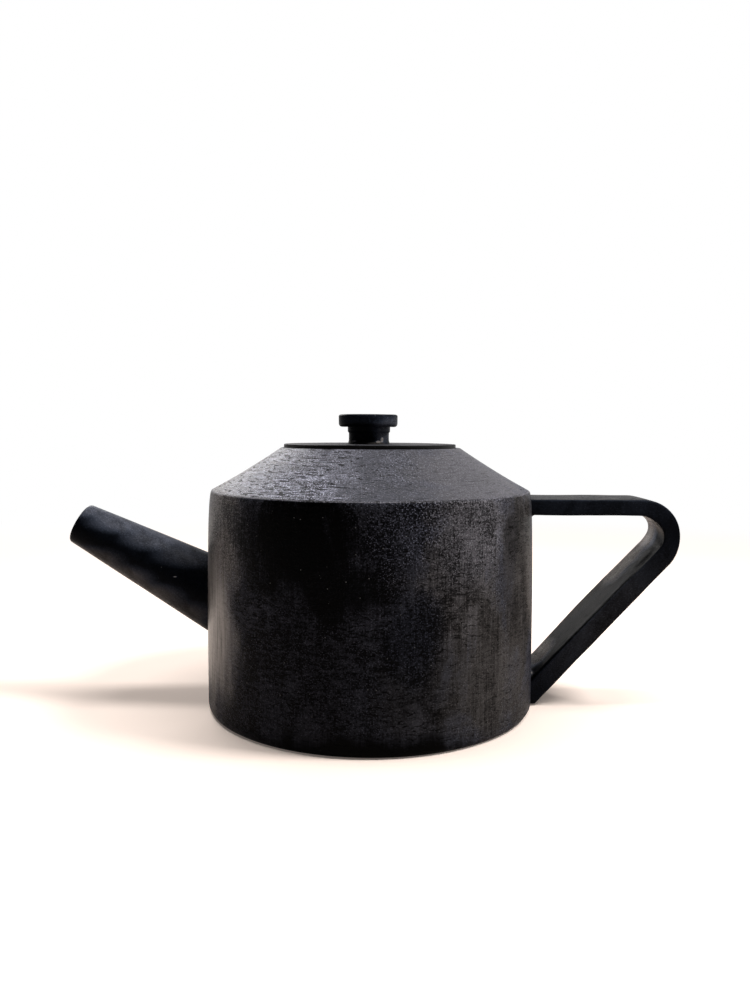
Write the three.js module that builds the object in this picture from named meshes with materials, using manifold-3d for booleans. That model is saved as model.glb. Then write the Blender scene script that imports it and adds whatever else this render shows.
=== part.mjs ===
// A stoneware teapot: a tall wall on a flat slab, a conical shoulder, a straight spout,
// a bent strap handle, and a lid with a button knob. Each piece of clay is a mesh of its own.
// Millimetres, +Z up. The origin is on the pot's axis, in the plane that the foot rests on.
// The spout points towards -X and the handle towards +X.

import * as THREE from 'three';
import { mergeVertices } from 'three/addons/utils/BufferGeometryUtils.js';
import Module from 'manifold-3d';

const wasm = await Module();
wasm.setup();

// Joints between pieces
const seamGap = 0.3;
const coilLeg = 5;
const filletHollow = 0.6;

// Wall and foot. The wall runs almost straight and turns in a little just under the arris.
const footRadius = 72.3;
const arrisRadius = 70;
const arrisHeight = 94.7;
const wallTurnOut = 1.75;
const wallTurnDrop = 10;
const wallThickness = 5;
const footRounding = 2.4;
const slabThickness = 6;

// Shoulder and mouth
const shoulderRise = 18.5;
const rimWidth = 1;
const shoulderThickness = 5;

// Lid and its seat
const lidRadius = 38;
const lidClearance = 0.5;
const lidThickness = 4;
const lidProud = 1.7;
const lidEdgeRounding = 0.4;
const seatWidth = 5.2;
const seatDepth = 5;
const flangeClearance = 1;
const flangeThickness = 4;
const flangeDepth = 9;
const ventDiameter = 4;

// Knob
const knobOffset = 1.2;
const stemRadius = 8.9;
const stemHeight = 6.9;
const stemFlare = 0.4;
const stemFlareHeight = 0.8;
const collarStep = 0.5;
const collarHeight = 2.2;
const capRadius = 13.1;
const capHeight = 5.4;
const capTopRounding = 1;
const capUnderRounding = 0.5;

// Spout
const spoutRootHeight = 48.4;
const spoutReach = 58;
const spoutRise = THREE.MathUtils.degToRad(27.8);
const spoutRootDiameter = 31.3;
const spoutTipDiameter = 18.5;
const spoutRootWall = 3.7;
const spoutTipWall = 3.1;
const lipRounding = 0.9;
const strainerHoleDiameter = 4.5;
const strainerRingHoles = 6;
const strainerMargin = 1.8;

// Handle
const strapWidth = 26;
const strapThickness = 7.3;
const strapEdgeRounding = 1.3;
const strapDrop = 3.1;
const strapReach = 64.9;
const strapBendRadius = 9.2;
const strapOuterTurn = 19.1;
const strapInnerTurn = 7.2;
const strapFootRun = 1.25;
const strapRootLift = 0.8;
const upperLutingDrop = 1.8;
const upperLutingRun = 5;
const lowerLutingRise = 3.6;
const lowerLutingRun = 9;
const lutingSetback = 1.5;

// How finely curves are faceted
const turnSteps = 72;
const smallTurnSteps = 36;
const holeSteps = 14;
const arcSteps = 14;
const wallSteps = 6;
const filletSteps = 4;
const roundingSteps = 3;

// Clay finishes: the trimmed body is coarser and greyer than the smoothed spout, handle and knob
const trimmedClay = { color: 0x2a2829, roughness: 0.82, metalness: 0 };
const shoulderClay = { color: 0x37363a, roughness: 0.74, metalness: 0 };
const smoothedClay = { color: 0x1c1b1e, roughness: 0.58, metalness: 0 };
const insideClay = { color: 0x252222, roughness: 0.9, metalness: 0 };

const rimHeight = arrisHeight + shoulderRise;
const mouthRadius = lidRadius + lidClearance;
const pot = potLines();
const lidTop = rimHeight + lidProud;
const lidUnderside = lidTop - lidThickness;
const seatTop = lidUnderside - seamGap;
const seatOuterRadius = mouthRadius - seamGap;
const seatInnerRadius = seatOuterRadius - seatWidth;
const flangeOuterRadius = seatInnerRadius - flangeClearance;
const flangeInnerRadius = flangeOuterRadius - flangeThickness;
const strap = strapPath();

const teapot = new THREE.Group();
addPiece('base_slab', baseSlab(), insideClay);
addPiece('body_wall', bodyWall(), trimmedClay);
addPiece('base_seam_coil', baseSeamCoil(), insideClay);
addPiece('shoulder', shoulder(), shoulderClay);
addPiece('shoulder_seam_coil', shoulderSeamCoil(), insideClay);
addPiece('lid_seat', lidSeat(), insideClay);
addPiece('spout', spout(), smoothedClay);
addPiece('handle_strap', handleStrap(), smoothedClay);
addPiece('handle_upper_luting', upperLuting(), smoothedClay);
addPiece('handle_lower_luting', lowerLuting(), smoothedClay);
addPiece('lid_plate', lidPlate(), trimmedClay);
addPiece('lid_flange', lidFlange(), insideClay);
const knob = new THREE.Group();
knob.position.set(-knobOffset, 0, lidTop + seamGap);
teapot.add(knob);
addPiece('knob_stem', knobStem(), smoothedClay, knob);
addPiece('knob_cap', knobCap(), smoothedClay, knob).position.z = stemHeight + seamGap;

export default teapot;

// Scene and geometry helpers

function addPiece(name, geometry, clay, parent = teapot) {
  const mesh = new THREE.Mesh(geometry, new THREE.MeshStandardMaterial(clay));
  mesh.name = name;
  parent.add(mesh);
  return mesh;
}

function at(x, y) {
  return new THREE.Vector2(x, y);
}

function along(angle) {
  return at(Math.cos(angle), Math.sin(angle));
}

// Turns a profile of (radius, height) points about the Z axis. The points run up the outside.
function turned(points, steps = turnSteps) {
  return new THREE.LatheGeometry(points, steps).rotateX(Math.PI / 2);
}

// The same for a ring: its profile ends where it starts.
function turnedRing(points, steps = turnSteps) {
  return turned([...points, points[0]], steps);
}

// Points of an arc about a centre, from one angle to another.
function arc(centre, radius, from, to, steps = roundingSteps) {
  const points = [];
  for (let i = 0; i <= steps; i += 1) {
    const angle = from + (to - from) * (i / steps);
    points.push(along(angle).multiplyScalar(radius).add(centre));
  }
  return points;
}

// Where the line through p along u meets the line through q along v.
function meet(p, u, q, v) {
  const gap = q.clone().sub(p);
  const distance = gap.cross(v) / u.cross(v);
  return p.clone().addScaledVector(u, distance);
}

function leftOf(direction) {
  return at(-direction.y, direction.x);
}

// Points from start to end that bow in towards a corner, as a thumbed-in fillet does.
function fillet(start, end, corner) {
  const pull = start.clone().lerp(end, 0.5).lerp(corner, filletHollow);
  return new THREE.QuadraticBezierCurve(start, pull, end).getPoints(filletSteps);
}

// Draws a side view of (x, z) points and pulls it out to a width centred on the pot's XZ plane.
function extrudedSide(shape, width, rounding = 0) {
  const geometry = new THREE.ExtrudeGeometry(shape, {
    depth: width - 2 * rounding,
    curveSegments: arcSteps,
    bevelEnabled: rounding > 0,
    bevelThickness: rounding,
    bevelSize: rounding,
    bevelOffset: -rounding,
    bevelSegments: roundingSteps,
  });
  return geometry.translate(0, 0, rounding - width / 2).rotateX(Math.PI / 2);
}

function toSolid(geometry) {
  const bare = geometry.clone();
  bare.deleteAttribute('normal');
  bare.deleteAttribute('uv');
  const merged = mergeVertices(bare);
  const index = merged.index.array;
  const triVerts = [];
  for (let i = 0; i < index.length; i += 3) {
    const [a, b, c] = index.slice(i, i + 3);
    if (a !== b && b !== c && c !== a) {
      triVerts.push(a, b, c);
    }
  }
  return new wasm.Manifold(new wasm.Mesh({
    numProp: 3,
    vertProperties: new Float32Array(merged.attributes.position.array),
    triVerts: new Uint32Array(triVerts),
  }));
}

function toGeometry(solid) {
  const { vertProperties, triVerts } = solid.getMesh();
  const geometry = new THREE.BufferGeometry();
  geometry.setAttribute('position', new THREE.BufferAttribute(vertProperties, 3));
  geometry.setIndex(new THREE.BufferAttribute(triVerts, 1));
  geometry.computeVertexNormals();
  return geometry;
}

function cutBy(geometry, cutters) {
  let solid = toSolid(geometry);
  for (const cutter of cutters) {
    solid = solid.subtract(toSolid(cutter));
  }
  return toGeometry(solid);
}

// Pot

// Radius at a height on a line of points that climbs, which runs on straight past its ends.
function radiusOn(line, height) {
  let i = 1;
  while (i < line.length - 1 && line[i].y < height) {
    i += 1;
  }
  const [low, high] = [line[i - 1], line[i]];
  return THREE.MathUtils.mapLinear(height, low.y, high.y, low.x, high.x);
}

// Outlines of the wall and of the shoulder, which are slabs that meet in a mitre at the arris.
function potLines() {
  const foot = at(footRadius, 0);
  const turn = at(arrisRadius + wallTurnOut, arrisHeight - wallTurnDrop);
  const arris = at(arrisRadius, arrisHeight);
  const rim = at(mouthRadius + rimWidth, rimHeight);
  const wallUp = arris.clone().sub(turn).normalize();
  const shoulderUp = rim.clone().sub(arris).normalize();
  const wallInside = arris.clone().addScaledVector(leftOf(wallUp), wallThickness);
  const shoulderInside = rim.clone().addScaledVector(leftOf(shoulderUp), shoulderThickness);
  const innerArris = meet(wallInside, wallUp, shoulderInside, shoulderUp);
  const mitre = arris.clone().sub(innerArris).normalize();
  const curve = new THREE.QuadraticBezierCurve(foot, turn, arris);
  const outer = curve.getPoints(wallSteps);
  const inner = outer.map((point, i) => {
    const inward = leftOf(curve.getTangent(i / wallSteps));
    return point.clone().addScaledVector(inward, wallThickness);
  });
  inner.splice(wallSteps, 1, innerArris);
  return { arris, rim, wallUp, shoulderUp, shoulderInside, innerArris, mitre, outer, inner };
}

// The filled outside of the wall, a seam's gap larger, which the spout and handle are cut to.
function wallEnvelope() {
  const margin = 20;
  const below = at(radiusOn(pot.outer, -margin), -margin);
  const above = at(radiusOn(pot.outer, rimHeight), rimHeight);
  const outside = [below, ...pot.outer, above].map((point) => at(point.x + seamGap, point.y));
  return turned([at(0, below.y), ...outside, at(0, above.y)]);
}

function baseSlab() {
  const radius = radiusOn(pot.inner, slabThickness) - seamGap;
  return turned([at(0, 0), at(radius, 0), at(radius, slabThickness), at(0, slabThickness)]);
}

function bodyWall() {
  const belowMitre = pot.innerArris.clone().addScaledVector(leftOf(pot.mitre), -seamGap / 2);
  const outerTop = meet(pot.arris, pot.wallUp, belowMitre, pot.mitre);
  const innerTop = meet(pot.innerArris, pot.wallUp, belowMitre, pot.mitre);
  const footEdge = arc(at(footRadius - footRounding, footRounding), footRounding, -Math.PI / 2, 0);
  const outside = [...footEdge, ...pot.outer.slice(1, -1), outerTop];
  const inside = [at(radiusOn(pot.inner, 0), 0), ...pot.inner.slice(1, -1), innerTop];
  return cutBy(turnedRing([...outside, ...inside.reverse()]), strainerHoles());
}

// Holes in a ring round one in the middle, inside the root of the spout's bore.
function strainerHoles() {
  const holeRadius = strainerHoleDiameter / 2;
  const ringRadius = spoutRootDiameter / 2 - spoutRootWall - strainerMargin - holeRadius;
  const centres = [at(0, spoutRootHeight)];
  for (let i = 0; i < strainerRingHoles; i += 1) {
    centres.push(along((2 * Math.PI * i) / strainerRingHoles).multiplyScalar(ringRadius).add(centres[0]));
  }
  return centres.map((centre) => {
    const drill = new THREE.CylinderGeometry(holeRadius, holeRadius, footRadius, holeSteps);
    return drill.rotateZ(Math.PI / 2).translate(-footRadius, centre.x, centre.y);
  });
}

function baseSeamCoil() {
  const floor = slabThickness + seamGap;
  const corner = at(radiusOn(pot.inner, floor) - seamGap, floor);
  const top = at(radiusOn(pot.inner, floor + coilLeg) - seamGap, floor + coilLeg);
  const toe = at(corner.x - coilLeg, floor);
  return turnedRing([corner, ...fillet(top, toe, corner)]);
}

function shoulder() {
  const aboveMitre = pot.innerArris.clone().addScaledVector(leftOf(pot.mitre), seamGap / 2);
  const outerBottom = meet(pot.arris, pot.shoulderUp, aboveMitre, pot.mitre);
  const innerBottom = meet(pot.shoulderInside, pot.shoulderUp, aboveMitre, pot.mitre);
  const mouthBottom = meet(pot.shoulderInside, pot.shoulderUp, at(mouthRadius, 0), at(0, 1));
  return turnedRing([innerBottom, outerBottom, pot.rim, at(mouthRadius, rimHeight), mouthBottom]);
}

// Fills the blunt inside corner under the arris.
function shoulderSeamCoil() {
  const wallFace = pot.innerArris.clone().addScaledVector(leftOf(pot.wallUp), seamGap);
  const shoulderFace = pot.innerArris.clone().addScaledVector(leftOf(pot.shoulderUp), seamGap);
  const corner = meet(wallFace, pot.wallUp, shoulderFace, pot.shoulderUp);
  const foot = pot.innerArris.y - coilLeg;
  const low = at(radiusOn(pot.inner, foot) - seamGap, foot);
  const high = corner.clone().addScaledVector(pot.shoulderUp, coilLeg);
  return turnedRing([corner, ...fillet(high, low, pot.innerArris)]);
}

function lidSeat() {
  const bottom = seatTop - seatDepth;
  return turnedRing([
    at(seatInnerRadius, bottom),
    at(seatOuterRadius, bottom),
    at(seatOuterRadius, seatTop),
    at(seatInnerRadius, seatTop),
  ]);
}

// Spout: turned about its own axis from inside the wall out to the lip, then cut to the wall
function spout() {
  const length = spoutReach / Math.cos(spoutRise);
  const rootRadius = spoutRootDiameter / 2;
  const tipRadius = spoutTipDiameter / 2;
  const startsInside = rootRadius;
  const outerAt = (s) => THREE.MathUtils.mapLinear(s, 0, length, rootRadius, tipRadius);
  const boreAt = (s) => THREE.MathUtils.mapLinear(
    s, 0, length, rootRadius - spoutRootWall, tipRadius - spoutTipWall,
  );
  const lipCentre = at(tipRadius - lipRounding, length - lipRounding);
  const tube = turnedRing([
    at(boreAt(-startsInside), -startsInside),
    at(outerAt(-startsInside), -startsInside),
    ...arc(lipCentre, lipRounding, 0, Math.PI / 2),
    at(boreAt(length), length),
  ], smallTurnSteps);
  const root = radiusOn(pot.outer, spoutRootHeight);
  tube.rotateY(spoutRise - Math.PI / 2).translate(-root, 0, spoutRootHeight);
  return cutBy(tube, [wallEnvelope()]);
}

// Handle

// Side view of the strap: a level leg under the arris, a bend, and a leg that leans back to the foot.
// Below its outermost point the bend opens outside and tightens inside, so the leaning leg is thicker.
function strapPath() {
  const outerBend = strapBendRadius + strapThickness;
  const top = arrisHeight - strapDrop;
  const centre = at(arrisRadius + strapReach - outerBend, top - outerBend);
  const outerTurn = at(centre.x + outerBend - strapOuterTurn, centre.y);
  const innerTurn = at(centre.x + strapBendRadius - strapInnerTurn, centre.y);
  const root = at(radiusOn(pot.outer, strapRootLift) + strapFootRun, strapRootLift);
  const toTurn = outerTurn.clone().sub(root);
  const lean = toTurn.angle() - Math.asin(strapOuterTurn / toTurn.length());
  return { outerBend, top, centre, outerTurn, innerTurn, root, lean, underside: top - strapThickness };
}

function handleStrap() {
  const { outerBend, top, centre, outerTurn, innerTurn, root, lean, underside } = strap;
  const insideWall = arrisRadius - 2 * wallThickness;
  const innerTangent = along(lean - Math.PI / 2).multiplyScalar(strapInnerTurn).add(innerTurn);
  const heel = meet(innerTangent, along(lean), root, at(1, 0));
  const side = new THREE.Shape();
  side.moveTo(heel.x, heel.y);
  side.lineTo(root.x, root.y);
  side.absarc(outerTurn.x, outerTurn.y, strapOuterTurn, lean - Math.PI / 2, 0, false);
  side.absarc(centre.x, centre.y, outerBend, 0, Math.PI / 2, false);
  side.lineTo(insideWall, top);
  side.lineTo(insideWall, underside);
  side.absarc(centre.x, centre.y, strapBendRadius, Math.PI / 2, 0, true);
  side.absarc(innerTurn.x, innerTurn.y, strapInnerTurn, 0, lean - Math.PI / 2, true);
  return cutBy(extrudedSide(side, strapWidth, strapEdgeRounding), [wallEnvelope()]);
}

// Small fillet between the wall and the underside of the level leg.
function upperLuting() {
  const ceiling = strap.underside - seamGap;
  const wall = radiusOn(pot.outer, ceiling);
  const inside = at(wall - wallThickness, ceiling);
  const low = at(wall, ceiling - upperLutingDrop);
  const out = at(wall + upperLutingRun, ceiling);
  const side = new THREE.Shape([inside, at(inside.x, low.y), ...fillet(low, out, at(wall, ceiling))]);
  return cutBy(extrudedSide(side, strapWidth - 2 * lutingSetback), [wallEnvelope()]);
}

// Larger fillet in the narrow corner between the wall and the leaning leg.
function lowerLuting() {
  const up = along(strap.lean);
  const innerFace = strap.innerTurn.clone().addScaledVector(leftOf(up), -strapInnerTurn + seamGap);
  const wallAt = radiusOn(pot.outer, strapRootLift);
  const wallLine = at(wallAt, 0);
  const corner = meet(innerFace, up, wallLine, at(0, 1));
  const inside = meet(innerFace, up, at(wallAt - wallThickness, 0), at(0, 1));
  const onWall = at(corner.x, corner.y + lowerLutingRise);
  const onStrap = corner.clone().addScaledVector(up, lowerLutingRun);
  const side = new THREE.Shape([inside, ...fillet(onStrap, onWall, corner), at(inside.x, onWall.y)]);
  return cutBy(extrudedSide(side, strapWidth - 2 * lutingSetback), [wallEnvelope()]);
}

// Lid

function lidPlate() {
  const edgeCentre = at(lidRadius - lidEdgeRounding, lidTop - lidEdgeRounding);
  const edge = arc(edgeCentre, lidEdgeRounding, 0, Math.PI / 2);
  const plate = turned([at(0, lidUnderside), at(lidRadius, lidUnderside), ...edge, at(0, lidTop)]);
  const ventPlace = (flangeInnerRadius + stemRadius + knobOffset) / 2;
  const ventRadius = ventDiameter / 2;
  const ventLength = 3 * lidThickness;
  const vent = new THREE.CylinderGeometry(ventRadius, ventRadius, ventLength, holeSteps);
  vent.rotateX(Math.PI / 2).translate(0, ventPlace, lidUnderside);
  return cutBy(plate, [vent]);
}

function lidFlange() {
  const top = lidUnderside - seamGap;
  return turnedRing([
    at(flangeInnerRadius, top - flangeDepth),
    at(flangeOuterRadius, top - flangeDepth),
    at(flangeOuterRadius, top),
    at(flangeInnerRadius, top),
  ]);
}

function knobStem() {
  const collarRadius = stemRadius + collarStep;
  const collarFoot = stemHeight - collarHeight;
  return turned([
    at(0, 0),
    at(stemRadius + stemFlare, 0),
    at(stemRadius, stemFlareHeight),
    at(stemRadius, collarFoot - collarStep),
    at(collarRadius, collarFoot),
    at(collarRadius, stemHeight),
    at(0, stemHeight),
  ], smallTurnSteps);
}

function knobCap() {
  const underCentre = at(capRadius - capUnderRounding, capUnderRounding);
  const overCentre = at(capRadius - capTopRounding, capHeight - capTopRounding);
  const under = arc(underCentre, capUnderRounding, -Math.PI / 2, 0);
  const over = arc(overCentre, capTopRounding, 0, Math.PI / 2);
  return turned([at(0, 0), ...under, ...over, at(0, capHeight)], smallTurnSteps);
}
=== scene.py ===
# Black stoneware teapot: the finish of each piece of clay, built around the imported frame
import math

import bmesh
import bpy
from mathutils import Matrix, Vector, noise


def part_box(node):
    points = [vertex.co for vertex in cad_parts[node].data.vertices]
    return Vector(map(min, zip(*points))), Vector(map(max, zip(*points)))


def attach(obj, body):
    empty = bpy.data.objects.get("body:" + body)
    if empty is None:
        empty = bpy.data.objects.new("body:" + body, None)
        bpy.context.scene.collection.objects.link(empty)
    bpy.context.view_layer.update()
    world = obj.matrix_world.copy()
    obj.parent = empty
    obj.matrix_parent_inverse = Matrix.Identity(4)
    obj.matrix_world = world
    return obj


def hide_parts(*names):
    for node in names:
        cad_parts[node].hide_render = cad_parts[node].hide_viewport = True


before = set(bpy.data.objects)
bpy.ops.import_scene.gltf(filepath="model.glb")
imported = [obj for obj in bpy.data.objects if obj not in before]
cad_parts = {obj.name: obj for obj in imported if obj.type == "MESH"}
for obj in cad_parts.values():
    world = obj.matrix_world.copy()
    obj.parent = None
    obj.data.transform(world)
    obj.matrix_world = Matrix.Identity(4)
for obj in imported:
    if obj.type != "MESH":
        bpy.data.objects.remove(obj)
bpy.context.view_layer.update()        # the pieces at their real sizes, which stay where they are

mm = 0.001
scene = bpy.context.scene
scene.view_settings.view_transform = "Standard"


# Camera

view = {
    "place": (0, -356.9, 120.6),   # mm
    "yaw": 0.32,                   # degrees towards the handle
    "pitch": 4.94,                 # degrees down
    "roll": 0.27,                  # degrees
    "lens": 28.8,                  # mm, on a sensor 36 mm along the picture's long side
}


def addCamera():
    data = bpy.data.cameras.new("camera")
    data.lens = view["lens"]
    data.sensor_width = 36
    camera = bpy.data.objects.new("camera", data)
    turned = Matrix.Rotation(math.radians(-view["yaw"]), 4, "Z")
    tipped = Matrix.Rotation(math.radians(90 - view["pitch"]), 4, "X")
    rolled = Matrix.Rotation(math.radians(view["roll"]), 4, "Z")
    camera.matrix_world = Matrix.Translation(Vector(view["place"]) * mm) @ turned @ tipped @ rolled
    scene.collection.objects.link(camera)
    scene.camera = camera


# Nodes

def setSockets(tree, node, sockets):
    for name, value in (sockets or {}).items():
        if isinstance(value, bpy.types.NodeSocket):
            tree.links.new(value, node.inputs[name])
        else:
            node.inputs[name].default_value = value


def addNode(tree, kind, sockets=None, **settings):
    node = tree.nodes.new("ShaderNode" + kind)
    for name, value in settings.items():
        setattr(node, name, value)
    setSockets(tree, node, sockets)
    return node


def calc(tree, operation, a, b=0.0, clamp=False):
    return addNode(tree, "Math", {0: a, 1: b}, operation=operation, use_clamp=clamp).outputs[0]


def ramp(tree, value, low, high, to=(0.0, 1.0)):
    sockets = {"Value": value, "From Min": low, "From Max": high, "To Min": to[0], "To Max": to[1]}
    return addNode(tree, "MapRange", sockets, interpolation_type="SMOOTHSTEP").outputs["Result"]


def mixColour(tree, factor, a, b):
    return addNode(tree, "Mix", {0: factor, 6: a, 7: b}, data_type="RGBA").outputs[2]


def addUp(tree, *values):
    total = values[0]
    for value in values[1:]:
        total = calc(tree, "ADD", total, value)
    return total


def times(tree, *values):
    total = values[0]
    for value in values[1:]:
        total = calc(tree, "MULTIPLY", total, value)
    return total


def rgb(red, green, blue):
    return (red, green, blue, 1.0)


# Room: a pale floor, soft lamps, and surroundings that are open behind and to the right

room = {
    "floorColour": rgb(0.98, 0.85, 0.77),
    "floorBounce": rgb(0.2, 0.18, 0.17),   # how pale the floor is to the light that it throws back
    "floorSize": 60,               # m
    "floorDrop": 0.05,             # mm under the foot
    "floorGlow": 0.12,             # in view only, so that lit floor is as white as the backdrop
    "floorFades": (0.28, 0.8),     # m from the pot, where the floor runs into the backdrop
    "backdrop": rgb(1.0, 1.0, 1.0),
    "openSide": (0.45, 0.8, 0.3),  # the surroundings are bright in this direction
    "openFrom": -0.3,
    "openTo": 0.8,
    "bright": rgb(0.95, 0.93, 0.92),
    "dim": rgb(0.012, 0.013, 0.016),
    "fillStrength": 0.3,
}
lamps = {
    "overhead": {"place": (0.0, 0.0, 1.2), "size": (0.95, 0.25), "power": 9.2},    # m across, W
    "key": {"place": (0.76, -0.15, 1.1), "size": (0.26, 0.26), "power": 12},
    "backLeft": {"place": (-0.6, 1.05, 0.76), "size": (0.6, 0.6), "power": 10},
    "window": {"place": (1.3, 0.0, 0.35), "size": (0.5, 0.5), "power": 2.5},
}
lampColour = (1.0, 0.98, 0.96)


def addSurroundings():
    world = bpy.data.worlds.new("surroundings")
    scene.world = world
    world.use_nodes = True
    tree = world.node_tree
    tree.nodes.clear()
    path = addNode(tree, "LightPath").outputs
    direction = addNode(tree, "TexCoord").outputs["Generated"]
    side = Vector(room["openSide"]).normalized()
    facing = addNode(tree, "VectorMath", {0: direction, 1: side}, operation="DOT_PRODUCT").outputs["Value"]
    openness = ramp(tree, facing, room["openFrom"], room["openTo"])
    around = mixColour(tree, openness, room["dim"], room["bright"])
    shown = mixColour(tree, path["Is Camera Ray"], around, room["backdrop"])
    inView = addUp(tree, path["Is Camera Ray"], path["Is Glossy Ray"], path["Is Transmission Ray"])
    fill = addNode(tree, "Background", {"Color": around, "Strength": room["fillStrength"]})
    picture = addNode(tree, "Background", {"Color": shown, "Strength": 1.0})
    mixed = addNode(tree, "MixShader", {0: inView, 1: fill.outputs[0], 2: picture.outputs[0]})
    addNode(tree, "OutputWorld", {"Surface": mixed.outputs[0]})


def addLamp(name, lamp):
    data = bpy.data.lights.new(name, "AREA")
    data.energy = lamp["power"]
    data.shape = "RECTANGLE"
    data.size, data.size_y = lamp["size"]
    data.color = lampColour
    light = bpy.data.objects.new(name, data)
    place = Vector(lamp["place"])
    light.matrix_world = Matrix.Translation(place) @ place.to_track_quat("Z", "Y").to_matrix().to_4x4()
    scene.collection.objects.link(light)


def addFloor():
    bm = bmesh.new()
    bmesh.ops.create_grid(bm, x_segments=1, y_segments=1, size=room["floorSize"] / 2)
    bmesh.ops.translate(bm, verts=bm.verts[:], vec=(0, 0, -room["floorDrop"] * mm))
    mesh = bpy.data.meshes.new("floor")
    bm.to_mesh(mesh)
    bm.free()
    material = bpy.data.materials.new("paleFloor")
    material.use_nodes = True
    tree = material.node_tree
    tree.nodes.clear()
    path = addNode(tree, "LightPath").outputs
    inView = addUp(tree, path["Is Camera Ray"], path["Is Glossy Ray"], path["Is Transmission Ray"])
    here = addNode(tree, "TexCoord").outputs["Object"]
    away = addNode(tree, "VectorMath", {0: here}, operation="LENGTH").outputs["Value"]
    far = times(tree, inView, ramp(tree, away, *room["floorFades"]))
    glow = calc(tree, "MAXIMUM", times(tree, inView, room["floorGlow"]), far)
    pale = mixColour(tree, inView, room["floorBounce"], room["floorColour"])
    pale = mixColour(tree, far, pale, rgb(0.0, 0.0, 0.0))
    shine = mixColour(tree, far, room["floorColour"], room["backdrop"])
    sockets = {"Base Color": pale, "Roughness": 1.0, "Specular IOR Level": 0.0,
               "Emission Color": shine, "Emission Strength": glow}
    surface = addNode(tree, "BsdfPrincipled", sockets)
    addNode(tree, "OutputMaterial", {"Surface": surface.outputs[0]})
    mesh.materials.append(material)
    floor = bpy.data.objects.new("floor", mesh)
    scene.collection.objects.link(floor)


# Shader groups

def startGroup(name, inputs, outputs):
    group = bpy.data.node_groups.new(name, "ShaderNodeTree")
    kinds = {"Vector": "NodeSocketVector", "Place": "NodeSocketVector", "Size": "NodeSocketVector"}
    for label, value in inputs.items():
        socket = group.interface.new_socket(name=label, in_out="INPUT",
                                            socket_type=kinds.get(label, "NodeSocketFloat"))
        if value is not None:
            socket.default_value = value
    for label in outputs:
        group.interface.new_socket(name=label, in_out="OUTPUT",
                                   socket_type=kinds.get(label, "NodeSocketFloat"))
    return group, group.nodes.new("NodeGroupInput").outputs, group.nodes.new("NodeGroupOutput").inputs


def turnedSpaceGroup():
    # A point on anything turned about the pot's axis: round it, and across wall, shoulder and lid alike
    group, given, out = startGroup("turnedSpace", {"Around": 100.0, "Across": 1000.0}, ["Vector"])
    point = addNode(group, "SeparateXYZ", {0: addNode(group, "TexCoord").outputs["Object"]}).outputs
    flat = addNode(group, "CombineXYZ", {"X": point["X"], "Y": point["Y"]}).outputs[0]
    radius = addNode(group, "VectorMath", {0: flat}, operation="LENGTH").outputs["Value"]
    across = calc(group, "SUBTRACT", point["Z"], radius)
    vector = addNode(group, "CombineXYZ", {
        "X": times(group, point["X"], given["Around"]),
        "Y": times(group, point["Y"], given["Around"]),
        "Z": times(group, across, given["Across"]),
    }).outputs[0]
    group.links.new(vector, out["Vector"])
    return group


def clayGrainGroup():
    # Sand in the clay: Dots is its tone grain by grain and partly painted glints, Height its relief, Speck
    # the few pale grains
    group, given, out = startGroup("clayGrain", {"Vector": None, "Scale": 2000.0, "Pale": 0.01},
                                   ["Dots", "Height", "Speck"])
    cells = addNode(group, "TexVoronoi", {"Vector": given["Vector"], "Scale": given["Scale"]}).outputs
    tone = addNode(group, "SeparateColor", {"Color": cells["Color"]}).outputs
    fineScale = times(group, given["Scale"], 0.8)
    fine = addNode(group, "TexNoise", {"Vector": given["Vector"], "Scale": fineScale,
                                       "Detail": 2.0}).outputs["Fac"]
    lump = ramp(group, cells["Distance"], 0.65, 0.15)
    dot = times(group, ramp(group, tone["Red"], 0.35, 0.95), lump)
    dots = addUp(group, times(group, dot, 1.7), times(group, fine, 2.0), -1.3)
    picked = calc(group, "LESS_THAN", tone["Green"], given["Pale"])
    group.links.new(dots, out["Dots"])
    group.links.new(dot, out["Height"])
    group.links.new(times(group, picked, lump), out["Speck"])
    return group


def dragMarksGroup():
    # Short wavy tears where the trimming tool dragged sand along, in a space from turnedSpace; the colour is
    # darkened in them as painted shade
    group, given, out = startGroup("dragMarks", {"Vector": None, "Share": 0.3}, ["Mask", "Tone"])
    wave = addNode(group, "TexNoise", {"Vector": given["Vector"], "Scale": 1.0, "Detail": 1.5}).outputs["Fac"]
    breaks = addNode(group, "TexNoise", {"Vector": given["Vector"], "Scale": 1.9,
                                         "Detail": 0.0}).outputs["Color"]
    breaks = addNode(group, "SeparateColor", {"Color": breaks}).outputs["Green"]
    swing = calc(group, "SUBTRACT", wave, 0.5)
    tear = ramp(group, calc(group, "ABSOLUTE", swing), 0.055, 0.02)
    least = calc(group, "SUBTRACT", 0.72, times(group, given["Share"], 0.6))
    picked = ramp(group, breaks, least, calc(group, "ADD", least, 0.05))
    group.links.new(times(group, picked, tear), out["Mask"])
    group.links.new(times(group, swing, 2.0), out["Tone"])
    return group


def clayCloudGroup():
    # Slow patches with ragged edges, where the clay was wiped or fired a little differently, from -0.5 to 0.5
    group, given, out = startGroup("clayCloud", {"Vector": None, "Scale": 1.0, "Contrast": 3.0}, ["Tone"])
    cloud = addNode(group, "TexNoise", {"Vector": given["Vector"], "Scale": given["Scale"],
                                        "Detail": 6.0, "Roughness": 0.62, "Distortion": 0.3})
    half = calc(group, "DIVIDE", 0.5, given["Contrast"])
    mask = addNode(group, "MapRange", {
        "Value": cloud.outputs["Fac"], "To Min": -0.5, "To Max": 0.5,
        "From Min": calc(group, "SUBTRACT", 0.5, half), "From Max": calc(group, "ADD", 0.5, half),
    }, interpolation_type="SMOOTHSTEP")
    group.links.new(mask.outputs["Result"], out["Tone"])
    return group


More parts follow.
